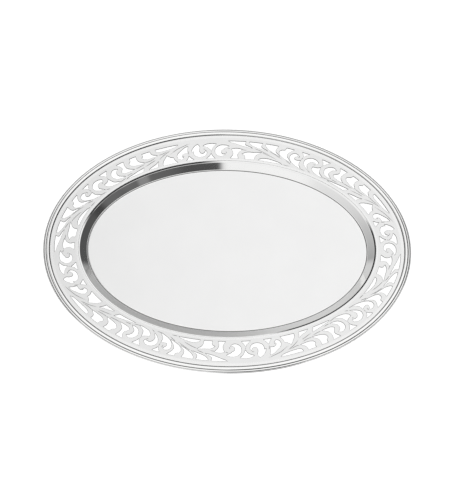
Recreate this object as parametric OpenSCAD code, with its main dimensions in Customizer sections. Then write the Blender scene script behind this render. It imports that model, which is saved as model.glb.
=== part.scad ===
// Oval serving tray: a shallow pressed well, a flat pierced band of running
// scrollwork round it, and a reeded border along the edge.
//
// Frame: X along the tray, Y across it, Z up. The origin is under the middle
// of the floor, on the plane that the tray rests on.
//
// Every ring of the tray is an ellipse a constant inset inside the edge, so a
// place on it is [inset from the edge, angle round the oval].

/* [Tray] */
// Length over the border, along X
tray_length = 450; // [430:5:480]
// Width over the border, along Y
tray_width = 315; // [300:5:340]
// Height of the top of the band above the floor of the well
well_depth = 9; // [8:0.5:12]
// Thickness of the pressed sheet
sheet = 1.2; // [1:0.1:1.5]

/* [Well] */
// Inset of the inner edge of the band, where the wall of the well begins
well_inset = 43; // [41:0.5:46]
// Slope of the wall, from the floor
wall_angle = 44.5; // [42:0.5:50]
// Radius at the top of the wall, on the polished side
brow_radius = 3; // [1.8:0.1:3.4]
// Radius where the wall meets the floor, on the polished side
floor_radius = 1.5; // [1:0.1:3]
// Width of the flange of the well, which the band is brazed to
flange_width = 3.2; // [2.6:0.1:3.2]

/* [Border] */
// Width of the border, over its reeds and its bead
border_width = 7.8; // [7.4:0.1:8.2]
// Width of the narrow reed along the edge
outer_reed = 1.4; // [1.2:0.1:1.6]
// Width of the reed beside the bead
inner_reed = 2.4; // [2.2:0.1:2.6]
// Height of both reeds above their feet
reed_height = 0.95; // [0.8:0.05:1.1]
// Height of the bead above the band
bead_height = 1.75; // [1.4:0.05:2]
// Angle round the oval of the butt joint in the reeded edge
butt_angle = 295; // [180:5:355]
// Width of the butt joint
butt_gap = 0.35; // [0.2:0.05:0.6]

/* [Piercing] */
// Inset of the line that the openings start from, near the border
pierce_outer = 14.7; // [14:0.1:15]
// Inset of the line that the openings end at, near the well
pierce_inner = 37.7; // [37:0.1:38]
// How far each drawn opening is opened out all round
pierce_growth = 0.4; // [0:0.1:0.6]
// How far the piercing sits off the middle of the tray, along X
pierce_x = 0.5; // [0:0.1:0.8]
// How far the piercing sits off the middle of the tray, along Y
pierce_y = -0.7; // [-0.8:0.1:0]
// How much nearer the edge the piercing runs at the ends of the tray than at its sides
pierce_drift = 1.8; // [0:0.1:2]

/* [Hidden] */

SILVER = "silver";
SATIN = "gainsboro";
RING_STEPS = 120;      // straight pieces round a swept ring
BAND_STEPS = 240;      // straight pieces round the edges of the band
TABLE_STEPS = 360;     // steps in the table of length along the band
CURVE_STEPS = 3;       // straight pieces between two points of an opening
ARC_STEPS = 4;         // straight pieces along a rounded corner of the well
REED_STEPS = 6;        // straight pieces over one reed
BEAD_STEPS = 8;        // straight pieces over the bead
CLEAR = 1;             // how far the piercing runs past each face of the band
REED_VALLEY = 25;      // angle above level at which the two reeds meet
REED_STEP = 0.25;      // how far each reed's foot lies above or below the rim
EDGE_HANG = 0.7;       // how far the edging hangs below the band
EDGE_CHAMFER = 0.8;    // height of the chamfer under the edging
REPEATS = 4;           // repeats of the scrollwork round the band
REPEAT_LENGTH = 263;   // length that one repeat is drawn at
REPEAT_TOP = 6;        // where the drawn openings start, across the band
REPEAT_BOTTOM = 29.5;  // where the drawn openings end, across the band

// How far the hand-laid scrollwork wanders along the band, at each quarter of each repeat
WANDER = [-7.5, -19, -15, -11, -1, -2, 1, 4, 7, 0, 3, 0.5, -1, -2.5, -5, -6.5];

band_top = sheet + well_depth;
band_bottom = band_top - sheet;
reeds_width = outer_reed + inner_reed;
band_edge = reeds_width / 2;
flange_inset = well_inset - flange_width;
middle_inset = (pierce_outer + pierce_inner) / 2;

// The wall runs down from under the band in an arc, a straight slope and an arc.
wall_drop = band_bottom - sheet;
bend_radii = brow_radius + floor_radius;
slope = (wall_drop - bend_radii * (1 - cos(wall_angle))) / sin(wall_angle);
floor_inset = well_inset + bend_radii * sin(wall_angle) + slope * cos(wall_angle);

// Point of the ellipse that lies this far inside the edge.
function oval(inset, angle) =
    [(tray_length / 2 - inset) * cos(angle), (tray_width / 2 - inset) * sin(angle)];

function ellipse(inset, steps) = [for (i = [0:steps - 1]) oval(inset, 360 * i / steps)];

function arc(center, radius, from, to, steps) =
    [for (i = [0:steps]) let (a = from + (to - from) * i / steps)
        center + radius * [cos(a), sin(a)]];

// ---- Length along the band ----

table_step = 360 / TABLE_STEPS;

function table_chord(i) =
    norm(oval(middle_inset, (i + 1) * table_step) - oval(middle_inset, i * table_step));

// Rows of [length along the middle of the band, angle].
length_table =
    [for (i = 0, s = 0; i <= TABLE_STEPS; s = s + table_chord(i), i = i + 1) [s, i * table_step]];

band_length = length_table[TABLE_STEPS][0];

// Rows of [repeats from the start, wander], closed on the first one.
wander_table =
    [for (i = [0:len(WANDER)]) [i * REPEATS / len(WANDER), WANDER[i % len(WANDER)]]];

// A place in a repeat, [along, across], as it is drawn, put on the band.
function on_band(place, repeat) =
    let (turn = repeat + place[0] / REPEAT_LENGTH,
         along = turn * band_length / REPEATS + lookup(turn, wander_table),
         lap = floor(along / band_length),
         angle = 360 * lap + lookup(along - lap * band_length, length_table),
         depth = (place[1] - REPEAT_TOP) / (REPEAT_BOTTOM - REPEAT_TOP),
         inset = pierce_outer + depth * (pierce_inner - pierce_outer))
    oval(inset - pierce_drift / 2 * cos(2 * angle), angle) + [pierce_x, pierce_y];

// ---- Scrollwork ----

// A point [along, across] is on a smooth stretch; a third value makes it a corner.
C = true;
T = REPEAT_TOP;
B = REPEAT_BOTTOM;

scroll_one = [
    [1, 13.2, C], [6, 11.8], [12, 12.2], [16.6, 15.2], [18.4, 19.6], [17, 24], [12.5, 26.4],
    [8.5, 26], [6, 24.2, C], [9.3, 24.2], [11.4, 21.8], [10.8, 18.8], [8.3, 17, C], [5, 14.6]];
scroll_two = [
    [40, 9, C], [44, 11.4], [47.3, 15.2], [48.8, 18, C], [46, 17.2, C], [46.6, 20.8],
    [44.6, 24.4], [39, 26.3], [33.5, 25.2], [30.3, 21.6], [30.8, 18.4, C], [33, 21.6],
    [36.4, 22.4], [39.2, 20.4], [39.6, 16.5], [38.4, 12.5]];
over_scrolls = [
    [17, 10, C], [22, 9.3], [28, 9.6], [33, 11.6, C], [28.5, 13.2], [25.3, 15.5], [23.6, 18.6, C],
    [22, 14.6], [19.8, 11.8]];
under_scrolls = [[24.6, 23.4, C], [26.6, 26.6], [31, B, C], [20, B, C], [22.8, 27]];
under_bud = [[54, 24.2, C], [55.8, 27.2], [58.5, B, C], [49, B, C], [51.8, 27.4]];
bud = [
    [52.8, 10.3, C], [57, 11.8], [62, 15], [66.8, 18.4], [68.6, 22], [67.3, 25.4], [64.4, 26.4],
    [62, 25, C], [63.6, 22.6], [61.8, 19.8], [58, 18.7], [55, 19.2, C], [54.6, 15.4]];

// Inner side of the first spray
spray_one_inner = [
    [[80.5, 18, C], [84, 21.5], [87.8, 26], [89.3, B, C], [71, B, C], [73.6, 26.4],
     [74.2, 22.4, C], [77.6, 21.2]],
    [[93.6, 23, C], [96.4, 25.2], [102, 27.2], [108.8, B, C], [96.6, B, C], [95.6, 26]],
    [[113.5, 25, C], [121, 26.4], [130, 28], [140, 29.2, C], [128, B], [117, B, C], [115.4, 27]]];

// Outer side of the first spray
spray_one_outer = [
    [[64, T, C], [90.5, T, C], [89.6, 8.2], [86, 9.4], [79, 9.3], [71, 8.2]],
    [[97.5, T, C], [106.5, T, C], [106.3, 8.6], [108.3, 10.8, C], [107, 13], [102, 14.4],
     [91.5, 13.8, C], [96.2, 11.4], [97.6, 8.8]],
    [[114.5, T, C], [121.5, T, C], [122, 9.2], [124.8, 11.4, C], [124.6, 14], [120.5, 16.8],
     [109, 18.4, C], [114.4, 14.5], [115.6, 10]],
    [[130, T, C], [138, T, C], [135.6, 9.4], [134.8, 13.4], [137.2, 16.4], [138.8, 18.4, C],
     [136, 20.6], [124.5, 21.5, C], [130.6, 17.4], [131.6, 11.6]]];

// The three curls in the middle, and the openings between them
curls = [
    [[140.6, 11.2, C], [144.6, 9.9], [148.8, 12], [151, 16], [150.2, 20.4], [147, 23.6],
     [139, 25.2, C], [144.8, 21], [145.6, 17], [144, 13.4]],
    [[151.5, T, C], [160.5, T, C], [157.8, 8.8], [156, 12.6, C], [154.4, 9.2]],
    [[157.2, 17.4, C], [160, 19.6], [165, 20.6, C], [164.4, 23.6], [159.5, 27], [148, 28.8, C],
     [154.8, 25], [156.6, 21]],
    [[162.6, 12.4, C], [166.6, 10], [171.6, 9.8], [176, 12.6], [177.6, 16.6], [176, 20.8],
     [170, 26, C], [173.4, 20.6], [172.6, 16.6], [169.6, 13.8], [166, 13.6], [163.4, 14.8, C]],
    [[176.6, T, C], [184.6, T, C], [182.4, 8], [181.2, 10.8, C], [179.4, 8.2]],
    [[188, 11.2, C], [191.6, 10.6], [195, 13.2], [195.4, 17.2], [192.4, 21.8], [187, 25.4],
     [178, 28.6, C], [182.4, 24], [183, 20], [182.4, 17.8, C], [186, 19], [190, 18.2],
     [190.6, 15], [188.8, 12.6]]];

// Outer side of the second spray
spray_two_outer = [
    [[194.5, T, C], [202.5, T, C], [203, 9], [206.6, 10.4, C], [208.2, 13.4], [206.4, 17],
     [202, 20], [192.5, 23.8, C], [199.4, 17.4], [200, 13], [197.6, 8.8]],
    [[211.5, T, C], [224.5, T, C], [223.4, 9.2], [219, 13.2], [206.5, 19.2, C], [212.6, 14.6],
     [213.2, 10]],
    [[228.5, T, C], [242, T, C], [240.4, 8.4], [235, 11.4], [221, 15, C], [228.4, 12], [229.4, 9]],
    [[246, T, C], [264.5, T, C], [256, 8.8], [249, 11.4], [238, 13.8, C], [246, 10.6], [247, 8.4]]];

// Inner side of the second spray
spray_two_inner = [
    [[201, B, C], [211, 27.4], [219, 26.4], [226, 27.4], [229, B, C]],
    [[227.5, 18.8, C], [236, 20.2], [243, 20.6], [248.4, 23.4, C], [244.8, 25.2], [244.8, B, C],
     [234.5, B, C], [234.2, 25], [232, 21.6]],
    [[249.2, 17.2, C], [255, 16.2], [260.6, 17.2, C], [258.8, 20.4], [258.6, 25], [261.6, B, C],
     [253, B, C], [254.4, 25], [252.8, 20.6]]];

OPENINGS = concat([scroll_one, scroll_two, over_scrolls, under_scrolls, under_bud, bud],
    spray_one_inner, spray_one_outer, curls, spray_two_outer, spray_two_inner);

function place(point) = [point[0], point[1]];
function is_corner(point) = len(point) > 2;
function unit(v) = v / norm(v);

// Direction of the outline at a smooth point, as long as the chord it serves.
function heading(points, i, chord) =
    let (n = len(points))
    norm(chord) * unit(place(points[(i + 1) % n]) - place(points[(i + n - 1) % n]));

// Point a share u of the way along the curve from p to q.
function between(p, q, leave, arrive, u) =
    (2 * u ^ 3 - 3 * u ^ 2 + 1) * p + (u ^ 3 - 2 * u ^ 2 + u) * leave
    + (3 * u ^ 2 - 2 * u ^ 3) * q + (u ^ 3 - u ^ 2) * arrive;

// Closed outline that runs smoothly through its points and breaks at its corners.
// Between a corner and a smooth point the curve leaves the corner unforced.
function outline(points) =
    [for (i = [0:len(points) - 1])
        let (j = (i + 1) % len(points),
             p = place(points[i]), q = place(points[j]), chord = q - p,
             sharp_p = is_corner(points[i]), sharp_q = is_corner(points[j]),
             out = sharp_p ? chord : heading(points, i, chord),
             in = sharp_q ? chord : heading(points, j, chord),
             leave = sharp_p && !sharp_q ? 1.5 * chord - in / 2 : out,
             arrive = sharp_q && !sharp_p ? 1.5 * chord - out / 2 : in)
        for (k = [0:CURVE_STEPS - 1]) between(p, q, leave, arrive, k / CURVE_STEPS)];

function signed_area(points) =
    let (n = len(points))
    [for (i = [0:n - 1]) cross(points[i], points[(i + 1) % n])] * [for (i = [1:n]) 0.5];

// The outline moved outwards all round.
function grown(points, growth) =
    let (n = len(points), way = sign(signed_area(points)))
    [for (i = [0:n - 1])
        let (run = unit(points[(i + 1) % n] - points[(i + n - 1) % n]))
        points[i] + way * growth * [run[1], -run[0]]];

module piercing() {
    for (repeat = [0:REPEATS - 1], opening = OPENINGS)
        translate([0, 0, band_bottom - CLEAR])
            linear_extrude(sheet + 2 * CLEAR)
                polygon([for (p = grown(outline(opening), pierce_growth)) on_band(p, repeat)]);
}

// ---- Swept rings ----

// Faces of a tube of rows points with cols in each, closed on itself.
function tube_faces(rows, cols, last) =
    [for (i = [0:last], j = [0:cols - 1])
        let (a = i, b = (i + 1) % rows, k = (j + 1) % cols)
        [a * cols + j, b * cols + j, b * cols + k, a * cols + k]];

// Profile of [inset, z] carried all the way round the oval.
module closed_ring(profile) {
    cols = len(profile);
    polyhedron(
        [for (i = [0:RING_STEPS - 1], p = profile)
            let (c = oval(p[0], 360 * i / RING_STEPS)) [c[0], c[1], p[1]]],
        tube_faces(RING_STEPS, cols, RING_STEPS - 1));
}

// Profile of [inset, z] carried round the oval from one side of a gap to the other.
module open_ring(profile, gap_angle, gap) {
    cols = len(profile);
    half = gap / norm(oval(0, gap_angle + 1) - oval(0, gap_angle)) / 2;
    span = 360 - 2 * half;
    polyhedron(
        [for (i = [0:RING_STEPS], p = profile)
            let (c = oval(p[0], gap_angle + half + span * i / RING_STEPS)) [c[0], c[1], p[1]]],
        concat(tube_faces(RING_STEPS + 1, cols, RING_STEPS - 1),
            [[for (j = [0:cols - 1]) j]],
            [[for (j = [cols - 1:-1:0]) RING_STEPS * cols + j]]));
}

// ---- Pieces ----

// Upper or lower side of the wall: lift is how far the side lies above the underside.
function wall_side(lift) =
    concat(
        arc([well_inset, band_bottom - brow_radius], brow_radius - sheet + lift,
            90, 90 - wall_angle, ARC_STEPS),
        arc([floor_inset, sheet + floor_radius], floor_radius + sheet - lift,
            270 - wall_angle, 270, ARC_STEPS));

// Pressed well: floor, sloping wall and the flange under the band.
module well_pan() {
    upper = concat([[flange_inset, band_bottom]], wall_side(sheet));
    lower = concat([[flange_inset, band_bottom - sheet]], wall_side(0));
    sides = concat(lower, [for (i = [len(upper) - 1:-1:0]) upper[i]]);
    cols = len(sides);
    inner = len(lower);
    color(SILVER)
        polyhedron(
            [for (i = [0:RING_STEPS - 1], p = sides)
                let (c = oval(p[0], 360 * i / RING_STEPS)) [c[0], c[1], p[1]]],
            concat(
                [for (i = [0:RING_STEPS - 1], j = [0:cols - 1])
                    let (b = (i + 1) % RING_STEPS, k = (j + 1) % cols)
                    if (j != inner - 1) [i * cols + j, b * cols + j, b * cols + k, i * cols + k]],
                [[for (i = [RING_STEPS - 1:-1:0]) i * cols + inner]],
                [[for (i = [0:RING_STEPS - 1]) i * cols + inner - 1]]));
}

// Flat band between the border and the well, pierced right through.
module pierced_band() {
    color(SATIN)
        difference() {
            translate([0, 0, band_bottom])
                linear_extrude(sheet)
                    difference() {
                        polygon(ellipse(band_edge, BAND_STEPS));
                        polygon(ellipse(well_inset, BAND_STEPS));
                    }
            piercing();
        }
}

// Wide polished bead that stands on the band, inside the reeds.
module rim_bead() {
    half = (border_width - reeds_width) / 2;
    middle = reeds_width + half;
    dome = [for (i = [0:BEAD_STEPS]) let (a = 180 * i / BEAD_STEPS)
        [middle - half * cos(a), band_top + bead_height * sin(a)]];
    color(SILVER) closed_ring(dome);
}

// Part of a reed's rounded top, from one angle to another, on a foot that starts at an inset.
function reed(start, width, foot, from, to) = [
    for (i = [0:REED_STEPS]) let (a = from + (to - from) * i / REED_STEPS)
        [start + width / 2 * (1 + cos(a)), foot + reed_height * sin(a)]
];

// Drawn edging with two narrow reeds, bent round the rim of the band and butted.
module reeded_edge() {
    foot = band_bottom - EDGE_HANG;
    profile = concat(
        [[outer_reed / 2, foot], [0, foot + EDGE_CHAMFER]],
        reed(0, outer_reed, band_top - REED_STEP, 180, REED_VALLEY),
        reed(outer_reed, inner_reed, band_top + REED_STEP, 180 - REED_VALLEY, 0),
        [[reeds_width, band_top], [band_edge, band_top], [band_edge, foot]]);
    color(SILVER) open_ring(profile, butt_angle, butt_gap);
}

well_pan();
pierced_band();
rim_bead();
reeded_edge();
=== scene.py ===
"""Looks of the oval serving tray in silver plate: well, pierced band, bead and reeded edging."""

from math import atan2, ceil, cos, degrees, hypot, pi, radians, sin

import bmesh
import bpy
from mathutils import Matrix, Vector
from mathutils.geometry import delaunay_2d_cdt, intersect_line_line_2d
from mathutils.kdtree import KDTree


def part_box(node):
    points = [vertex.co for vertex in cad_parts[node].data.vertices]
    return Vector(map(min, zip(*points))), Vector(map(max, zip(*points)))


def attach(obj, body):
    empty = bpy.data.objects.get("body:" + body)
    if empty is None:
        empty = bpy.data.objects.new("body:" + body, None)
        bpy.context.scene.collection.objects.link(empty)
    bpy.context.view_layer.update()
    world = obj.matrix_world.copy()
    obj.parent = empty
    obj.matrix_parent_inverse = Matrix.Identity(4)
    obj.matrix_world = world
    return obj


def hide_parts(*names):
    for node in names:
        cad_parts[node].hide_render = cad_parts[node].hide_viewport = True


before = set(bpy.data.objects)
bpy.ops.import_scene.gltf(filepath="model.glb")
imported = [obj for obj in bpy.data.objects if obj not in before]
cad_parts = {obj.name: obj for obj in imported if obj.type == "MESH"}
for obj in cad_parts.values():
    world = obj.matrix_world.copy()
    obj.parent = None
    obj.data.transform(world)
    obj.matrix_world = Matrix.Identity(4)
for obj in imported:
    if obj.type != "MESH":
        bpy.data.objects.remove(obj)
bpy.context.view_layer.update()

MM = 0.001


# ---- Sizes, in metres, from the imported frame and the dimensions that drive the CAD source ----

edge_low, edge_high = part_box("reeded_edge")
band_low, band_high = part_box("pierced_band")
_, bead_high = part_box("rim_bead")
_, pan_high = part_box("well_pan")

HALF_LENGTH = edge_high.x
HALF_WIDTH = edge_high.y
BAND_TOP = band_high.z
BAND_BOTTOM = band_low.z
SHEET = BAND_TOP - BAND_BOTTOM
BAND_EDGE = HALF_LENGTH - band_high.x
BEAD_OUTER = HALF_LENGTH - bead_high.x
BEAD_TOP = bead_high.z
EDGING_FOOT = edge_low.z
FLANGE_INSET = HALF_WIDTH - pan_high.y

WELL_INSET = 43 * MM  # inset of the band's inner edge, where the wall begins
BORDER_WIDTH = 7.8 * MM  # reeds and bead together
WALL_ANGLE = radians(44.5)  # slope of the wall from the floor
BROW_RADIUS = 3 * MM  # at the top of the wall, polished side
FLOOR_RADIUS = 1.5 * MM  # where the wall meets the floor, polished side
REED_HEIGHT = 0.95 * MM
REED_VALLEY = 1.4 * MM  # inset of the valley between the two reeds
REED_STEP = 0.25 * MM  # how far each reed's foot lies above or below the rim
EDGING_CHAMFER = 0.8 * MM
BUTT_ANGLE = radians(295)
BUTT_GAP = 0.35 * MM

SAME_POINT = 1e-7  # points nearer than this are one point
SAME_LEVEL = 1e-6  # heights nearer than this are one height
FILL_TOLERANCE = 1e-8
RING_STEPS = 720
TURNS = [2 * pi * i / RING_STEPS for i in range(RING_STEPS)]

# Where painted shade and painted dark reflections lie round the oval, as (start, end, how much), in
# degrees; -20 to 740 is all round
SEAM_SPANS = ((92, 168, 1.0), (286, 380, 1.0))
BEAD_SPANS = ((-20, 740, 0.4), (100, 380, 1.0))
EDGING_SPANS = ((-20, 740, 0.3), (262, 298, 1.0), (338, 582, 1.0))
SPAN_FADE = 9.0  # degrees over which the painted shade fades at each end of a span
SCORE_PAINTED_SHADE = 0.85  # painted shade in the score line at the foot of the wall


def painted_shade_at(angle, spans):
    """How much painted shade there is at an angle round the oval."""
    shares = [
        most * max(0.0, min(1.0, (place - start) / SPAN_FADE, (end - place) / SPAN_FADE))
        for start, end, most in spans
        for place in (degrees(angle), degrees(angle) + 360)
    ]
    return max(shares)


def oval(inset, angle, scale=1.0):
    """Point of the ellipse this far inside the edge, drawn in towards the middle by scale."""
    return (
        (HALF_LENGTH - inset) * scale * cos(angle),
        (HALF_WIDTH - inset) * scale * sin(angle),
    )


def arc(inset, z, radius, start, end, steps):
    """Points of an arc in a profile of (inset, z), with its angles in radians."""
    turns = [start + (end - start) * i / steps for i in range(steps + 1)]
    return [(inset + radius * cos(a), z + radius * sin(a)) for a in turns]


# ---- Mesh building ----


class Shell:
    """Points and faces of one piece as they are laid down."""

    def __init__(self):
        self.points = []
        self.faces = []
        self.flat = []
        self.finish = []
        self.painted_shade = []

    def add(self, points, painted_shade=0.0):
        """Adds points, with one painted shade for all of them or one each, and returns their
        numbers.
        """
        first = len(self.points)
        self.points += [tuple(p) for p in points]
        self.painted_shade += [painted_shade] * len(points) if isinstance(painted_shade, float) else painted_shade
        return list(range(first, len(self.points)))

    def face(self, indices, finish=0, flat=False):
        """One face, left out where fewer than three of its corners differ."""
        kept = [
            i for n, i in enumerate(indices) if self.points[i] != self.points[indices[n - 1]]
        ]
        if len(kept) >= 3:
            self.faces.append(kept)
            self.finish.append(finish)
            self.flat.append(flat)

    def strip(self, one, two, closed=True, finish=0, flat=False):
        """Faces between two rows of as many points."""
        for i in range(len(one) if closed else len(one) - 1):
            j = (i + 1) % len(one)
            self.face([one[i], one[j], two[j], two[i]], finish, flat)

    def build(self, name, materials, crease=radians(38)):
        """The finished object, with its doubled points merged and its normals turned outwards."""
        mesh = bpy.data.meshes.new(name)
        mesh.from_pydata(self.points, [], self.faces)
        for material in materials:
            mesh.materials.append(material)
        mesh.polygons.foreach_set("material_index", self.finish)
        mesh.polygons.foreach_set("use_smooth", [not f for f in self.flat])
        # Point attribute, 0 to 1, of painted shade and painted dark reflections
        layer = mesh.attributes.new("painted_shade", "FLOAT", "POINT")
        layer.data.foreach_set("value", self.painted_shade)
        piece = bpy.data.objects.new(name, mesh)
        bpy.context.scene.collection.objects.link(piece)
        merge_and_turn(mesh)
        smooth = [polygon.use_smooth for polygon in mesh.polygons]
        mesh.set_sharp_from_angle(angle=crease)  # this makes every face smooth again
        mesh.polygons.foreach_set("use_smooth", smooth)
        return piece


def merge_and_turn(mesh):
    """Merges points that lie on each other and makes the normals point outwards."""
    work = bmesh.new()
    work.from_mesh(mesh)
    bmesh.ops.remove_doubles(work, verts=work.verts, dist=SAME_POINT)
    bmesh.ops.recalc_face_normals(work, faces=work.faces)
    work.to_mesh(mesh)
    work.free()


def sweep(name, profile, material, spans, gap=0.0, gap_angle=0.0):
    """A closed profile of (inset, z, painted shade) carried round the oval.

    A gap, as a length, leaves it open with capped ends at gap_angle.
    """
    shell = Shell()
    closed = gap == 0
    around = hypot(HALF_LENGTH * sin(gap_angle), HALF_WIDTH * cos(gap_angle))
    start = gap_angle + gap / around / 2
    span = 2 * pi - gap / around
    count = RING_STEPS if closed else RING_STEPS + 1
    rows = []
    turns = [start + span * i / RING_STEPS for i in range(count)]
    shares = [painted_shade_at(a % (2 * pi), spans) for a in turns]
    for inset, z, painted_shade in profile:
        rows.append(shell.add([(*oval(inset, a), z) for a in turns], [painted_shade * s for s in shares]))
    for one, two in zip(rows, rows[1:] + rows[:1]):
        shell.strip(one, two, closed)
    if not closed:
        for end in (0, -1):
            shell.face([row[end] for row in rows], flat=True)
    return shell.build(name, [material])


def dome(middle, half, base, height, steps, flatness=2.0):
    """Half-round of a profile as (inset, z), outer foot first.

    A flatness above 2 makes it flatter on top and steeper at its feet.
    """
    points = []
    for i in range(1, steps):
        turn = pi * i / steps
        across = -cos(turn) * abs(cos(turn)) ** (2 / flatness - 1) if 2 * i != steps else 0.0
        points.append((middle + half * across, base + height * sin(turn) ** (2 / flatness)))
    return [(middle - half, base)] + points + [(middle + half, base)]


# ---- Materials ----

# Near-black colour of the painted shade and painted dark reflections
PAINTED_SHADE_COLOUR = (0.05, 0.05, 0.05, 1.0)
CLOUD_SCALE, CLOUD_DETAIL = 22.0, 3.0
CLOUD_FROM, CLOUD_TO = 0.3, 0.7  # the noise between which the clouding fades
GRAIN_DETAIL = 2.0
ROUGHNESS_SPREAD = 0.2  # how far the grain varies the roughness, as a share of it
RING_SCALE, RING_DETAIL = 420.0, 4.0  # of the polishing lines, from the middle to the edge


def math_node(tree, operation, *values):
    """The output of a maths node that is fed these numbers and sockets."""
    node = tree.nodes.new("ShaderNodeMath")
    node.operation = operation
    for number, value in enumerate(values):
        if isinstance(value, (int, float)):
            node.inputs[number].default_value = value
        else:
            tree.links.new(value, node.inputs[number])
    return node.outputs[0]


def graded(tree, value, low, high, at_low, at_high, interpolation="LINEAR"):
    """What goes from at_low to at_high while the value goes from low to high."""
    node = tree.nodes.new("ShaderNodeMapRange")
    node.interpolation_type = interpolation
    tree.links.new(value, node.inputs["Value"])
    node.inputs["From Min"].default_value = low
    node.inputs["From Max"].default_value = high
    node.inputs["To Min"].default_value = at_low
    node.inputs["To Max"].default_value = at_high
    return node.outputs["Result"]


def noise(tree, place, scale, detail):
    """Noise between 0 and 1 over the surface."""
    node = tree.nodes.new("ShaderNodeTexNoise")
    node.inputs["Scale"].default_value = scale
    node.inputs["Detail"].default_value = detail
    tree.links.new(place, node.inputs["Vector"])
    return node.outputs["Fac"]


def bumped(tree, height, depth, normal=None):
    """The normal of a surface with this relief, laid over another normal if one is given."""
    node = tree.nodes.new("ShaderNodeBump")
    node.inputs["Strength"].default_value = 1.0
    node.inputs["Distance"].default_value = depth
    tree.links.new(height, node.inputs["Height"])
    if normal is not None:
        tree.links.new(normal, node.inputs["Normal"])
    return node.outputs["Normal"]


def ring_lines(tree, place, depth):
    """Polishing lines that run round the oval: a relief that varies only across the rings."""
    split = tree.nodes.new("ShaderNodeSeparateXYZ")
    tree.links.new(place, split.inputs[0])
    squares = []
    for axis, half in (("X", HALF_LENGTH), ("Y", HALF_WIDTH)):
        share = math_node(tree, "DIVIDE", split.outputs[axis], half)
        squares.append(math_node(tree, "MULTIPLY", share, share))
    wave = tree.nodes.new("ShaderNodeTexNoise")
    wave.noise_dimensions = "1D"
    wave.inputs["Scale"].default_value = RING_SCALE
    wave.inputs["Detail"].default_value = RING_DETAIL
    ring = math_node(tree, "SQRT", math_node(tree, "ADD", *squares))
    tree.links.new(ring, wave.inputs["W"])
    return bumped(tree, wave.outputs["Fac"], depth)


def metal(name, colour, roughness, grain, grain_depth, tone, line_depth=0.0):
    """Silver plate with a fine grain, faint clouding, and near-black painted shade where the mesh
    carries it.

    The grain is given by its scale and its depth in metres. The tone is how far the clouding
    darkens the colour, and line_depth is the depth of polishing lines, in metres.
    """
    material = bpy.data.materials.new(name)
    material.use_nodes = True
    tree = material.node_tree
    tree.nodes.clear()
    output = tree.nodes.new("ShaderNodeOutputMaterial")
    shader = tree.nodes.new("ShaderNodeBsdfPrincipled")
    shader.inputs["Metallic"].default_value = 1.0
    tree.links.new(shader.outputs[0], output.inputs[0])
    place = tree.nodes.new("ShaderNodeTexCoord").outputs["Object"]

    clouds = noise(tree, place, CLOUD_SCALE, CLOUD_DETAIL)
    clouded = tree.nodes.new("ShaderNodeVectorMath")
    clouded.operation = "SCALE"
    clouded.inputs[0].default_value = colour
    shade = graded(tree, clouds, CLOUD_FROM, CLOUD_TO, 1.0 - tone, 1.0)
    tree.links.new(shade, clouded.inputs["Scale"])

    # Painted shade: the colour is mixed towards near-black as far as the mesh's point attribute
    # says
    painted_shade = tree.nodes.new("ShaderNodeAttribute")
    painted_shade.attribute_name = "painted_shade"
    colours = tree.nodes.new("ShaderNodeMix")
    colours.data_type = "RGBA"
    tree.links.new(painted_shade.outputs["Fac"], colours.inputs["Factor"])
    tree.links.new(clouded.outputs["Vector"], colours.inputs["A"])
    colours.inputs["B"].default_value = PAINTED_SHADE_COLOUR
    tree.links.new(colours.outputs["Result"], shader.inputs["Base Color"])

    specks = noise(tree, place, grain, GRAIN_DETAIL)
    smoothest = roughness * (1 - ROUGHNESS_SPREAD)
    roughest = roughness * (1 + ROUGHNESS_SPREAD)
    rough = graded(tree, specks, 0.0, 1.0, smoothest, roughest)
    tree.links.new(rough, shader.inputs["Roughness"])
    lines = ring_lines(tree, place, line_depth) if line_depth else None
    relief = bumped(tree, specks, grain_depth, lines)
    tree.links.new(relief, shader.inputs["Normal"])
    return material


mirror = metal(
    "polished_plate", (0.90, 0.90, 0.895), 0.06, 900.0, 0.4e-6, 0.03, line_depth=1.5e-6
)
satin = metal("satin_floor", (0.88, 0.88, 0.878), 0.34, 2600.0, 4e-6, 0.02)
frosted = metal("satin_band", (0.815, 0.815, 0.812), 0.30, 2400.0, 4e-6, 0.04)
margin = metal("bright_margin", (0.85, 0.85, 0.847), 0.24, 2000.0, 3e-6, 0.03)
under = metal("plain_underside", (0.74, 0.74, 0.735), 0.32, 1500.0, 3e-6, 0.08)
border = metal("polished_border", (0.92, 0.92, 0.915), 0.08, 1400.0, 0.5e-6, 0.03)

# ---- Well ----

FLANGE_ROUND = 0.25 * MM
SCORE_HALF = 0.4 * MM  # half the width of the score line at the foot of the wall
SCORE_DEPTH = 0.26 * MM
SCORE_REACH = 0.07 * MM  # how far up the foot of the wall the score line's painted shade goes
SEAM_REACH = 0.48 * MM  # how far down the brow the seam's painted shade goes
SHINE = 0.8 * MM  # polished margin of the floor, inside the score line
UPPER_STEPS, LOWER_STEPS = 14, 10  # of each bend of the wall, on its two sides
FLOOR_RINGS = (0.97, 0.9, 0.75, 0.5, 0.25)  # rings of the floor, as shares of its outermost one
WELL_MIRROR, WELL_SATIN, WELL_UNDER = range(3)  # finishes of the well, in the order of build()


def wall_side(lift, steps):
    """Upper or lower side of the wall: lift is how far it lies above the underside."""
    drop = BAND_BOTTOM - SHEET
    radii = BROW_RADIUS + FLOOR_RADIUS
    slope = (drop - radii * (1 - cos(WALL_ANGLE))) / sin(WALL_ANGLE)
    foot = WELL_INSET + radii * sin(WALL_ANGLE) + slope * cos(WALL_ANGLE)
    level = pi / 2
    brow = arc(
        WELL_INSET, BAND_BOTTOM - BROW_RADIUS, BROW_RADIUS - SHEET + lift,
        level, level - WALL_ANGLE, steps,
    )
    fillet = arc(
        foot, SHEET + FLOOR_RADIUS, FLOOR_RADIUS + SHEET - lift,
        -level - WALL_ANGLE, -level, steps,
    )
    return brow + fillet


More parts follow.
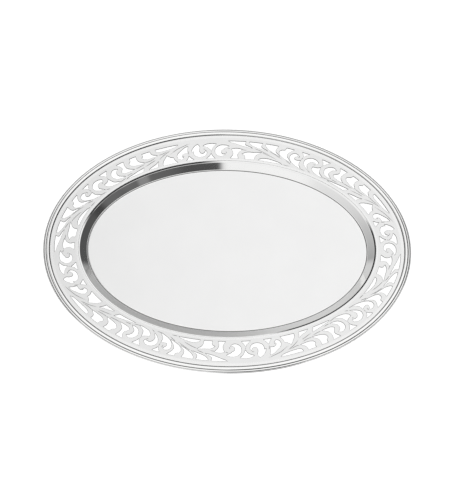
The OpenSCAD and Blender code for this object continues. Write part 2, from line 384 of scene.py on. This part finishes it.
def well():
    """The well as one bent sheet: flange, polished wall, score line, satin floor, underside."""
    shell = Shell()
    wall = wall_side(SHEET, UPPER_STEPS)
    floor_start, floor_z = wall[-1]
    score = floor_start + SCORE_HALF
    upper = [(FLANGE_INSET, BAND_BOTTOM - FLANGE_ROUND), (FLANGE_INSET + FLANGE_ROUND, BAND_BOTTOM)]
    upper += wall
    upper += [(score, floor_z - SCORE_DEPTH), (score + SCORE_HALF, floor_z)]
    upper += [(score + SCORE_HALF + SHINE, floor_z)]
    lower = [(FLANGE_INSET, BAND_BOTTOM - SHEET + FLANGE_ROUND)]
    lower += [(FLANGE_INSET + FLANGE_ROUND, BAND_BOTTOM - SHEET)]
    lower += wall_side(0, LOWER_STEPS)
    polished_rows = len(upper) - 1
    # Painted shade at the top of the wall, a dark line under the band's edge in some spans round
    # the oval
    seam_painted_shade = [painted_shade_at(a, SEAM_SPANS) for a in TURNS]

    def upper_painted_shade(inset, z):
        if WELL_INSET <= inset < floor_start and z > BAND_BOTTOM - SEAM_REACH:
            return seam_painted_shade
        return SCORE_PAINTED_SHADE if inset <= score and z < floor_z + SCORE_REACH else 0.0

    def lay(profile, finish_of, painted_shade_of):
        """One side of the sheet, from the flange to the middle; returns its outermost row."""
        rows = [
            shell.add([(*oval(inset, a), z) for a in TURNS], painted_shade_of(inset, z))
            for inset, z in profile
        ]
        inset, level = profile[-1]
        rows += [
            shell.add([(*oval(inset, a, scale), level) for a in TURNS]) for scale in FLOOR_RINGS
        ]
        for n in range(len(rows) - 1):
            shell.strip(rows[n], rows[n + 1], finish=finish_of(n))
        centre = shell.add([(0, 0, level)])[0]
        last = rows[-1]
        for i in range(RING_STEPS):
            shell.face([last[i], last[(i + 1) % RING_STEPS], centre], finish_of(len(rows)))
        return rows[0]

    top = lay(upper, lambda n: WELL_MIRROR if n < polished_rows else WELL_SATIN, upper_painted_shade)
    bottom = lay(lower, lambda n: WELL_UNDER, lambda inset, z: 0.0)
    shell.strip(top, bottom, finish=WELL_UNDER)
    return shell.build("pressed_well", [mirror, satin, under])


# ---- Pierced band ----

EDGE_ROLL = 0.44 * MM  # radius of the rolled edges of the openings
OUTER_ROLL, INNER_ROLL = 0.3 * MM, 0.45 * MM  # of the band's own two edges
UNDER_ROLL = 0.12 * MM  # of all edges, on the underside
ROLL_STEPS = 3
EDGE_PAINTED_SHADE = 1.5  # how dark the painted shade on the rolled edges gets; above 1, they are fully dark from higher up
OUTER_MARGIN = 11.9 * MM  # inset where the plain margin beside the border ends
INNER_MARGIN = 40.5 * MM  # inset where the plain margin beside the well begins
LINE_WIDTH = 0.7 * MM  # cut line in the band along the foot of the bead
LINE_DEPTH = 0.4 * MM
# Painted shade in the bottom of the cut line along the foot of the bead
LINE_PAINTED_SHADE = 0.9
BAND_SATIN, BAND_MARGIN = range(2)  # finishes of the band, in the order of build()

MOVE_STEP = 0.06 * MM  # the most that an outline is moved out at a time
MOVE_AS_ONE = 0.02 * MM  # points nearer than this move as one
MITRE_LEAST, MITRE_MOST = 0.2, 2.2  # both limit how far a sharp corner runs out
LOOP_POINTS = 9  # the most points in a small loop that an outline makes over itself
OPENING_PARTS = 2  # pieces that each step of an opening's outline is drawn in

CUT_HALF = 0.3 * MM  # half the width of a cut line
CUT_SLOPE = 1.1  # its depth, as a share of half its width
CUT_SWELL, CUT_TAPER = 6, 3  # it widens over a sixth of its length and narrows over a third
CUT_CLEAR = 0.25 * MM  # metal left between a cut line and an opening
CUT_POINTS = 12  # points between two drawn places of a cut line
CUT_FEWEST = 5  # the fewest points of a cut line that is kept

# How the drawn scrollwork lies on the band, as in the CAD source
REPEATS = 4
REPEAT_LENGTH = 263
REPEAT_TOP, REPEAT_BOTTOM = 6, 29.5
PIERCE_OUTER, PIERCE_INNER = 14.7 * MM, 37.7 * MM
PIERCE_MIDDLE = Vector((0.5 * MM, -0.7 * MM))
PIERCE_DRIFT = 1.8 * MM  # how much further out the pierced field lies at the ends than the sides
# How far the drawing is shifted along the band, in mm, at even steps round it
WANDER = (-7.5, -19, -15, -11, -1, -2, 1, 4, 7, 0, 3, 0.5, -1, -2.5, -5, -6.5)

# Cut lines of one repeat, as places (along, across)
CUT_LINES = (
    ((49, 6.2), (57, 8.8), (65, 11.2), (72, 14.6), (79.4, 18.4)),  # edge of the first leaf
    ((74, 11.4), (81, 14.6), (87.5, 18.2), (93, 22)),
    ((95, 19.4), (103, 21.8), (112.5, 24.4)),
    ((91.5, 13.8), (86.5, 14), (82, 13.2), (77.5, 11.6)),  # roots of the first spray
    ((109, 18.4), (103.5, 18.6), (98.5, 17.8), (94, 16.2)),
    ((124.5, 21.5), (119.5, 21.6), (114, 21), (109.5, 20.2)),
    ((139, 25.2), (134, 25.6), (128.5, 25)),
    ((148, 28.8), (143.5, 28.4), (139, 27.4)),  # roots of the curls
    ((170, 26), (167.5, 28), (164.5, 29.4)),
    ((178, 28.6), (175, 29.2), (171, 29.6)),
    ((187.5, 11.2), (185.5, 12.8), (186.4, 15)),
    ((192.5, 23.8), (188.5, 25.8), (184, 27.8), (179.5, 29.4)),  # roots of the second spray
    ((206.5, 19.2), (201.5, 21.4), (196, 24.4), (190, 27.4)),
    ((221, 15), (215, 17.2), (208.5, 20.2), (202, 23.4)),
    ((238, 13.8), (231, 15.8), (224, 18.4), (217, 20.6)),
    ((227.5, 18.8), (221, 20.6), (214.5, 22.8), (208.5, 25.2)),  # edge of the second leaf
    ((201, 29.5), (196, 30), (191, 29.8)),
    ((249.2, 17.2), (246.6, 17.6), (243, 17.6)),
    ((260.6, 17.2), (263.6, 16.4), (266, 15.4)),
    ((6, 24.2), (4.2, 22.6), (4.6, 20.6)),  # eyes of the scrolls
    ((30.8, 18.4), (32, 16.4), (34.2, 15.8)),
    ((62, 25), (61, 23.4), (61.6, 22)),
    ((163.4, 14.8), (164.6, 16.6), (166.4, 17)),
    ((23.6, 18.6), (24, 20.6), (24.6, 22.8)),  # where two scrolls meet
    ((52.6, 16.6), (53.4, 19.4), (54, 23.4)),
    ((156, 12.6), (156.6, 14.6), (157, 16.8)),
    ((181.2, 10.8), (181.6, 13.6), (182.2, 17)),
)


def face_outlines(node, z):
    """The outlines of a CAD node's flat face at height z, each a closed run of points."""
    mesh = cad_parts[node].data
    mesh.calc_loop_triangles()

    def key(index):
        point = mesh.vertices[index].co
        return round(point.x, 6), round(point.y, 6)  # to a micrometre

    ahead = set()
    for triangle in mesh.loop_triangles:
        if all(abs(mesh.vertices[i].co.z - z) < SAME_LEVEL for i in triangle.vertices):
            a, b, c = (key(i) for i in triangle.vertices)
            ahead |= {(a, b), (b, c), (c, a)}
    follow = {a: b for a, b in ahead if (b, a) not in ahead and a != b}
    outlines = []
    while follow:
        start, here = follow.popitem()
        run = [start]
        while here != start:
            run.append(here)
            here = follow.pop(here)
        outlines.append([Vector(p) for p in run])
    return outlines


def signed_area(points):
    """The area inside a closed run of points, positive where it runs to the left."""
    pairs = zip(points, points[1:] + points[:1])
    return sum(p.x * q.y - q.x * p.y for p, q in pairs) / 2


def turn_at(before, here, after):
    """How far the way turns at a point, in radians, positive to the left."""
    one, two = here - before, after - here
    return atan2(one.x * two.y - one.y * two.x, one.dot(two))


def on_curve(p, q, before, after, u):
    """Point at a share u of the smooth way from p to q, with these slopes at its two ends."""
    return (
        (2 * u**3 - 3 * u**2 + 1) * p + (u**3 - 2 * u**2 + u) * before
        + (3 * u**2 - 2 * u**3) * q + (u**3 - u**2) * after
    )


def softened(points, parts, corner=radians(42)):
    """The outline with its curves drawn finer, and its corners kept."""
    n = len(points)
    sharp = [abs(turn_at(points[i - 1], points[i], points[(i + 1) % n])) > corner for i in range(n)]
    finer = []
    for i in range(n):
        p, q = points[i], points[(i + 1) % n]
        chord = q - p
        before = chord if sharp[i] else (q - points[i - 1]) / 2
        after = chord if sharp[(i + 1) % n] else (points[(i + 2) % n] - p) / 2
        if before.length > 0:
            before = before * (chord.length / before.length)
        if after.length > 0:
            after = after * (chord.length / after.length)
        finer += [on_curve(p, q, before, after, k / parts) for k in range(parts)]
    return finer


def draw_together(points):
    """Gathers each small loop that a closed run makes over itself into its crossing point."""
    n = len(points)
    for i in range(n):
        for ahead in range(LOOP_POINTS, 1, -1):
            one, two = points[i], points[(i + 1) % n]
            three, four = points[(i + ahead) % n], points[(i + ahead + 1) % n]
            crossing = intersect_line_line_2d(one, two, three, four)
            if crossing is not None:
                for k in range(1, ahead + 1):
                    points[(i + k) % n] = crossing.copy()
                break


def moved_out(points, distance):
    """The closed outline moved outwards all round, with the loops this makes drawn together."""
    way = 1 if signed_area(points) > 0 else -1
    steps = max(1, ceil(distance / MOVE_STEP))
    here = [p.copy() for p in points]
    for _ in range(steps):
        groups = []
        for i, p in enumerate(here):
            if groups and (p - here[groups[-1][0]]).length < MOVE_AS_ONE:
                groups[-1].append(i)
            else:
                groups.append([i])
        reduced = [here[g[0]] for g in groups]
        n = len(reduced)
        shifted = []
        for i in range(n):
            one = (reduced[i] - reduced[i - 1]).normalized()
            two = (reduced[(i + 1) % n] - reduced[i]).normalized()
            normal = Vector((one.y + two.y, -one.x - two.x)) * way
            size = max(normal.length, MITRE_LEAST)
            reach = min(2 / size, MITRE_MOST)
            shifted.append(reduced[i] + normal / size * (distance / steps) * reach)
        draw_together(shifted)
        for group, place in zip(groups, shifted):
            for i in group:
                here[i] = place.copy()
    return here


def length_table():
    """Rows of (length along the middle of the pierced field, angle)."""
    middle = (PIERCE_OUTER + PIERCE_INNER) / 2
    rows = [(0.0, 0.0)]
    for i in range(RING_STEPS):
        one, two = (2 * pi * (i + k) / RING_STEPS for k in (0, 1))
        step = Vector(oval(middle, two)) - Vector(oval(middle, one))
        rows.append((rows[-1][0] + step.length, two))
    return rows


def looked_up(value, rows):
    """The value beside this one in a table of rising rows, between rows in proportion."""
    for (low, at_low), (high, at_high) in zip(rows, rows[1:]):
        if value <= high:
            return at_low + (at_high - at_low) * (value - low) / (high - low)
    return rows[-1][1]


def on_band(place, repeat, lengths, wander):
    """A drawn place (along, across) of a repeat, put on the band."""
    turn = (repeat + place[0] / REPEAT_LENGTH) % REPEATS
    whole = lengths[-1][0]
    along = (turn * whole / REPEATS + looked_up(turn, wander)) % whole
    angle = looked_up(along, lengths)
    depth = (place[1] - REPEAT_TOP) / (REPEAT_BOTTOM - REPEAT_TOP)
    inset = PIERCE_OUTER + depth * (PIERCE_INNER - PIERCE_OUTER)
    return Vector(oval(inset - PIERCE_DRIFT / 2 * cos(2 * angle), angle)) + PIERCE_MIDDLE


def smooth_line(places, parts):
    """Points of a smooth open line through these places."""
    line = []
    last = len(places) - 1
    for i in range(last):
        p, q = places[i], places[i + 1]
        before = (q - places[max(i - 1, 0)]) / (2 if i > 0 else 1)
        after = (places[min(i + 2, last)] - p) / (2 if i < last - 1 else 1)
        line += [on_curve(p, q, before, after, k / parts) for k in range(parts)]
    return line + [places[last]]


def cut_lines(outlines):
    """The cut lines of every repeat, as lists of (place, half width).

    Each is cut back to its longest stretch that is clear of the outlines and the lines before it.
    """
    points = [p for run in outlines for p in run]
    tree = KDTree(len(points))
    for index, p in enumerate(points):
        tree.insert((p.x, p.y, 0), index)
    tree.balance()
    lengths = length_table()
    count = len(WANDER)
    wander = [(i * REPEATS / count, WANDER[i % count] * MM) for i in range(count + 1)]
    cuts, taken = [], []
    for repeat in range(REPEATS):
        for places in CUT_LINES:
            line = smooth_line([on_band(p, repeat, lengths, wander) for p in places], CUT_POINTS)
            best, run = [], []
            for p in line + [None]:
                if p is not None and tree.find((p.x, p.y, 0))[2] > CUT_HALF + CUT_CLEAR and all(
                    (p - q).length > 2 * CUT_HALF + CUT_CLEAR for q in taken
                ):
                    run.append(p)
                    continue
                best = max(best, run, key=len)
                run = []
            if len(best) < CUT_FEWEST:
                continue
            last = len(best) - 1
            taken += best
            cuts.append([
                (p, CUT_HALF * min(1, CUT_SWELL * k / last, CUT_TAPER * (1 - k / last)))
                for k, p in enumerate(best)
            ])
    return cuts


def band():
    """The pierced band: rolled edges round every opening, and cut lines that run on from them."""
    shell = Shell()
    outlines = sorted(face_outlines("pierced_band", BAND_TOP), key=lambda o: -abs(signed_area(o)))
    openings = [softened(o, OPENING_PARTS) for o in outlines[2:]]  # after the band's two edges

    def rim(inset):
        return lambda distance: [Vector(oval(inset(distance), a)) for a in TURNS]

    def opening(run):
        return lambda distance: moved_out(run, distance)

    def flat_ring(inset, drop=0.0, painted_shade_level=0.0):
        places = [Vector(oval(inset, a)) for a in TURNS]
        return shell.add([(p.x, p.y, BAND_TOP - drop) for p in places], painted_shade_level), places

    # Edges as (outline at a distance, radius, how dark the painted shade on its roll is, and how
    # dark the painted shade is low down)
    # Painted shade low on the band's inner edge, in the same spans
    seam_painted_shade = [painted_shade_at(a, SEAM_SPANS) for a in TURNS]
    edges = [
        (rim(lambda distance: BAND_EDGE + distance), OUTER_ROLL, 0.0, 0.0),
        (rim(lambda distance: WELL_INSET - distance), INNER_ROLL, 0.0, seam_painted_shade),
    ]
    edges += [(opening(run), EDGE_ROLL, EDGE_PAINTED_SHADE, 1.0) for run in openings]
    top_runs, bottom_runs = [], []
    for moved, radius, painted_shade_level, low_painted_shade in edges:
        rows = []
        for k in range(ROLL_STEPS + 1):
            a = pi / 2 * k / ROLL_STEPS
            ring = moved(radius * (1 - sin(a)))
            z = BAND_TOP - radius * (1 - cos(a))
            rows.append(shell.add([(p.x, p.y, z) for p in ring], min(1.0, painted_shade_level * sin(a))))
            if k == 0:
                top_runs.append((rows[0], ring))
        low = moved(0)
        base = moved(UNDER_ROLL)
        rows.append(shell.add([(p.x, p.y, BAND_BOTTOM + UNDER_ROLL) for p in low], low_painted_shade))
        rows.append(shell.add([(p.x, p.y, BAND_BOTTOM) for p in base]))
        bottom_runs.append((rows[-1], base))
        for one, two in zip(rows, rows[1:]):
            shell.strip(one, two)
    outer_rim, inner_rim, *opening_runs = top_runs
    line_start = flat_ring(BORDER_WIDTH)
    line_bottom = flat_ring(BORDER_WIDTH + LINE_WIDTH / 2, LINE_DEPTH, LINE_PAINTED_SHADE)
    line_end = flat_ring(BORDER_WIDTH + LINE_WIDTH)
    outer_margin = flat_ring(OUTER_MARGIN)
    inner_margin = flat_ring(INNER_MARGIN)
    cuts = cut_lines([run for _, run in opening_runs + [outer_margin, inner_margin]])
    field = [outer_margin, inner_margin] + opening_runs + [groove(shell, cut) for cut in cuts]
    rings = [outer_rim, line_start, line_bottom, line_end, outer_margin]
    for one, two in zip(rings, rings[1:]):
        shell.strip(one[0], two[0], finish=BAND_MARGIN, flat=True)
    shell.strip(inner_margin[0], inner_rim[0], finish=BAND_MARGIN, flat=True)
    fill(shell, field)
    fill(shell, bottom_runs)
    return shell.build("scrollwork_band", [frosted, margin])


def groove(shell, cut):
    """A V-shaped cut in the top of the band, with its outline there as (point numbers, places)."""
    places = [q for q, _ in cut]
    last = len(cut) - 1
    sides = {1: [], -1: []}
    valley = []
    for k, (q, half) in enumerate(cut):
        run = (places[min(k + 1, last)] - places[max(k - 1, 0)]).normalized()
        if k in (0, last):
            end = shell.add([(q.x, q.y, BAND_TOP)])[0]
            for side in sides.values():
                side.append((end, q))
            valley.append(end)
            continue
        for way, side in sides.items():
            p = q + Vector((-run.y, run.x)) * half * way
            side.append((shell.add([(p.x, p.y, BAND_TOP)])[0], p))
        # The valley of the cut gets full painted shade
        valley += shell.add([(q.x, q.y, BAND_TOP - half * CUT_SLOPE)], 1.0)
    for side in sides.values():
        row = [number for number, _ in side]
        shell.strip(row, valley, closed=False)
    outline = sides[1] + sides[-1][-2:0:-1]
    return [number for number, _ in outline], [q for _, q in outline]


def fill(shell, runs):
    """Flat satin triangles of the metal between closed runs, the outermost one first."""
    numbers, places, walls = [], [], []
    for order, (indices, run) in enumerate(runs):
        kept = [i for i in range(len(run)) if (run[i] - run[i - 1]).length > SAME_POINT]
        if (signed_area(run) > 0) != (order == 0):
            kept.reverse()
        first = len(places)
        numbers += [indices[i] for i in kept]
        places += [run[i] for i in kept]
        walls += [(first + i, first + (i + 1) % len(kept)) for i in range(len(kept))]
    made, edges, triangles, sources, edge_sources, _ = delaunay_2d_cdt(
        places, walls, [], 0, FILL_TOLERANCE, True
    )
    level = shell.points[numbers[0]][2]
    final = [
        numbers[source[0]] if source else shell.add([(made[i].x, made[i].y, level)])[0]
        for i, source in enumerate(sources)
    ]
    onward = {}
    for (a, b), source in zip(edges, edge_sources):
        for wall in source:
            start, end = walls[wall]
            way = 1 if (made[b] - made[a]).dot(places[end] - places[start]) > 0 else -1
            onward[a, b] = onward.get((a, b), 0) + way
            onward[b, a] = -onward[a, b]
    sides = {side: n for n, t in enumerate(triangles) for side in zip(t, t[1:] + t[:1])}
    outermost = next(edge for edge, source in zip(edges, edge_sources) if 0 in source)
    if onward[outermost] < 0:
        outermost = outermost[::-1]
    wound = {sides[outermost]: 1}  # how often the runs go round each triangle
    waiting = [sides[outermost]]
    while waiting:
        n = waiting.pop()
        t = triangles[n]
        for a, b in zip(t, t[1:] + t[:1]):
            across = sides.get((b, a))
            if across is not None and across not in wound:
                wound[across] = wound[n] - onward.get((a, b), 0)
                waiting.append(across)
    for n, t in enumerate(triangles):
        if wound[n] > 0:
            shell.face([final[i] for i in t], BAND_SATIN, flat=True)


# ---- Border ----

BEAD_FLATNESS = 2.6
BEAD_PARTS, REED_PARTS = 24, 28
VALLEY_HEIGHT = 0.2 * MM  # of the valley between the reeds, above the band
REED_CLEAR = 0.1 * MM  # the least height of a point of a reed above that valley
# Valleys of the border, as (inset, how far painted shade reaches from them)
VALLEYS = ((REED_VALLEY, 0.46 * MM), (BEAD_OUTER, 0.45 * MM), (BORDER_WIDTH, 0.5 * MM))
PAINTED_SHADE_FADE = 0.2 * MM  # over which the painted shade of a valley ends
SIDE_PAINTED_SHADE = 0.75  # painted shade on the outer side of the edging
SIDE_REACH = 0.4 * MM  # how far in from the edge that painted shade goes


def valley_painted_shade(inset):
    """How much painted shade the border gets for lying near one of its valleys, or on its outer
    side.
    """
    near = max((reach - abs(inset - valley)) / PAINTED_SHADE_FADE for valley, reach in VALLEYS)
    return max(SIDE_PAINTED_SHADE if inset < SIDE_REACH else 0.0, min(1.0, near))


def bead():
    """The wide polished bead that stands on the band."""
    half = (BORDER_WIDTH - BEAD_OUTER) / 2
    height = BEAD_TOP - BAND_TOP
    profile = [
        (inset, z, valley_painted_shade(inset))
        for inset, z in dome(BEAD_OUTER + half, half, BAND_TOP, height, BEAD_PARTS, BEAD_FLATNESS)
    ]
    return sweep("polished_bead", profile, border, BEAD_SPANS)


def edging():
    """The drawn edging with its two narrow reeds, bent round the rim and butted."""
    clear = BAND_TOP + VALLEY_HEIGHT + REED_CLEAR
    outer_half = REED_VALLEY / 2
    inner_half = (BEAD_OUTER - REED_VALLEY) / 2
    inner_middle = BEAD_OUTER - inner_half
    outer = dome(outer_half, outer_half, BAND_TOP - REED_STEP, REED_HEIGHT, REED_PARTS)
    inner = dome(inner_middle, inner_half, BAND_TOP + REED_STEP, REED_HEIGHT, REED_PARTS)
    profile = [(outer_half, EDGING_FOOT), (0, EDGING_FOOT + EDGING_CHAMFER)]
    profile += [p for p in outer if p[0] < outer_half or p[1] > clear]
    profile += [(REED_VALLEY, BAND_TOP + VALLEY_HEIGHT)]
    profile += [p for p in inner if p[0] > inner_middle or p[1] > clear]
    profile += [(BEAD_OUTER, BAND_TOP), (BAND_EDGE, BAND_TOP), (BAND_EDGE, EDGING_FOOT)]
    profile = [(inset, z, valley_painted_shade(inset)) for inset, z in profile]
    return sweep("reeded_edging", profile, border, EDGING_SPANS, BUTT_GAP, BUTT_ANGLE)


# ---- The tray ----

PIECES = (
    (well, "well_pan", "polished_sheet"),
    (band, "pierced_band", "satin_band"),
    (bead, "rim_bead", "polished_bead"),
    (edging, "reeded_edge", "polished_edging"),
)
for make, node, slot in PIECES:
    piece = make()
    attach(piece, "root")
    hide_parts(node)

# ---- Floor, light and camera ----


def studio_floor():
    """A wide pale floor under the tray."""
    reach = 6.0
    mesh = bpy.data.meshes.new("studio_floor")
    square = [(-reach, -reach, 0), (reach, -reach, 0), (reach, reach, 0), (-reach, reach, 0)]
    mesh.from_pydata(square, [], [(0, 1, 2, 3)])
    plane = bpy.data.objects.new("studio_floor", mesh)
    bpy.context.scene.collection.objects.link(plane)
    material = bpy.data.materials.new("studio_floor")
    material.use_nodes = True
    shader = material.node_tree.nodes["Principled BSDF"]
    shader.inputs["Base Color"].default_value = (0.6, 0.6, 0.6, 1)
    shader.inputs["Roughness"].default_value = 1.0
    shader.inputs["Specular IOR Level"].default_value = 0.0
    shader.inputs["Emission Color"].default_value = (1, 1, 1, 1)
    shader.inputs["Emission Strength"].default_value = 0.7
    mesh.materials.append(material)


HORIZON = 0.36  # strength of the light at the horizon
OVERHEAD = 1.06  # strength of the light overhead
OVERHEAD_FROM = 52  # degrees of elevation where it has reached that
LEVEL_LEAST = 1e-4  # divides instead of 0 where the direction is straight up


def studio_light():
    """Soft light from all round, bright overhead, with pale and dark cards along the horizon."""
    world = bpy.data.worlds.new("studio")
    bpy.context.scene.world = world
    world.use_nodes = True
    tree = world.node_tree
    tree.nodes.clear()
    output = tree.nodes.new("ShaderNodeOutputWorld")
    background = tree.nodes.new("ShaderNodeBackground")
    background.inputs["Color"].default_value = (1, 1, 1, 1)
    tree.links.new(background.outputs[0], output.inputs[0])

    split = tree.nodes.new("ShaderNodeSeparateXYZ")
    tree.links.new(tree.nodes.new("ShaderNodeTexCoord").outputs["Generated"], split.inputs[0])
    x, y, z = split.outputs[0], split.outputs[1], split.outputs[2]

    def made(operation, *values):
        return math_node(tree, operation, *values)

    def eased(value, low, high, at_low, at_high):
        return graded(tree, value, low, high, at_low, at_high, "SMOOTHSTEP")

    level = made("SQRT", made("ADD", made("MULTIPLY", x, x), made("MULTIPLY", y, y)))

    def side(azimuth, inner, outer):
        """1 within the inner angle of this azimuth, 0 beyond the outer one."""
        along = made(
            "ADD",
            made("MULTIPLY", x, cos(radians(azimuth))),
            made("MULTIPLY", y, sin(radians(azimuth))),
        )
        share = made("DIVIDE", along, made("MAXIMUM", level, LEVEL_LEAST))
        return eased(share, cos(radians(outer)), cos(radians(inner)), 0.0, 1.0)

    def above(low, high):
        """0 below the low elevation, 1 above the high one."""
        return eased(z, sin(radians(low)), sin(radians(high)), 0.0, 1.0)

    def below(low, high):
        """1 below the low elevation, 0 above the high one."""
        return eased(z, sin(radians(low)), sin(radians(high)), 1.0, 0.0)

    def put(under_it, value, masks):
        """The value laid over what is under it, as far as all the masks let it."""
        cover = masks[0]
        for mask in masks[1:]:
            cover = made("MULTIPLY", cover, mask)
        change = made("MULTIPLY", cover, made("SUBTRACT", value, under_it))
        return made("ADD", under_it, change)

    # Each patch is its strength and the masks that bound it, laid over those before it. Azimuths
    # are 0 to the right, 90 behind the tray, and -90 in front of it. The wall of the well shows
    # each patch on the side across from it.
    light = eased(z, 0.0, sin(radians(OVERHEAD_FROM)), HORIZON, OVERHEAD)
    for value, masks in (
        # In front on the left, brighter higher up
        (eased(z, 0.26, 0.46, 0.56, 0.94), (side(-125, 34, 52), below(72, 84))),
        # Bright gap straight in front
        (1.0, (side(-98, 14, 24), below(20, 46))),
        # Mid grey card behind on the right
        (0.40, (side(62, 20, 38), below(24, 46))),
        # Pale cards behind on the left
        (0.76, (side(110, 12, 20), below(26, 44))),
        (0.70, (side(134, 8, 18), below(26, 44))),
        # High card behind on the left, which tones down the flat metal
        (0.45, (side(152, 24, 38), above(44, 52), below(66, 74))),
        # Long dark cards in front and on the right
        (0.06, (side(-40, 46, 49.5), below(20, 30))),
        (0.08, (side(-74, 12, 14), below(26, 36))),
        (0.09, (side(10, 24, 34), below(30, 54))),
        # Slightly paler stripes in them
        (0.13, (side(-62, 3, 16), below(24, 34))),
        (0.14, (side(-38, 2, 11), below(24, 48))),
        (0.26, (side(-59, 1.2, 3.5), below(26, 40))),
    ):
        light = put(light, value, masks)

    seen = tree.nodes.new("ShaderNodeLightPath")
    mix = tree.nodes.new("ShaderNodeMix")
    tree.links.new(seen.outputs["Is Camera Ray"], mix.inputs["Factor"])
    tree.links.new(light, mix.inputs["A"])
    mix.inputs["B"].default_value = 1.0  # what the camera itself sees behind the tray
    tree.links.new(mix.outputs["Result"], background.inputs["Strength"])


def camera():
    """The camera: nearly straight down on the tray, from the middle of a long side."""
    azimuth, elevation, roll = radians(-1.86), radians(71.34), radians(2.53)
    distance = 1.239
    target = Vector((-0.0030, -0.0072, BAND_TOP))
    back = Vector(
        (sin(azimuth) * cos(elevation), -cos(azimuth) * cos(elevation), sin(elevation))
    )
    right = Vector((cos(azimuth), sin(azimuth), 0))
    up = back.cross(right)
    across = cos(roll) * right + sin(roll) * up
    upward = -sin(roll) * right + cos(roll) * up
    data = bpy.data.cameras.new("camera")
    data.lens = 72.5
    data.sensor_width = 36
    view = bpy.data.objects.new("camera", data)
    bpy.context.scene.collection.objects.link(view)
    view.matrix_world = Matrix.Translation(target + distance * back) @ Matrix(
        (across, upward, back)
    ).transposed().to_4x4()
    bpy.context.scene.camera = view


studio_floor()
studio_light()
camera()
bpy.context.scene.view_settings.view_transform = "Standard"
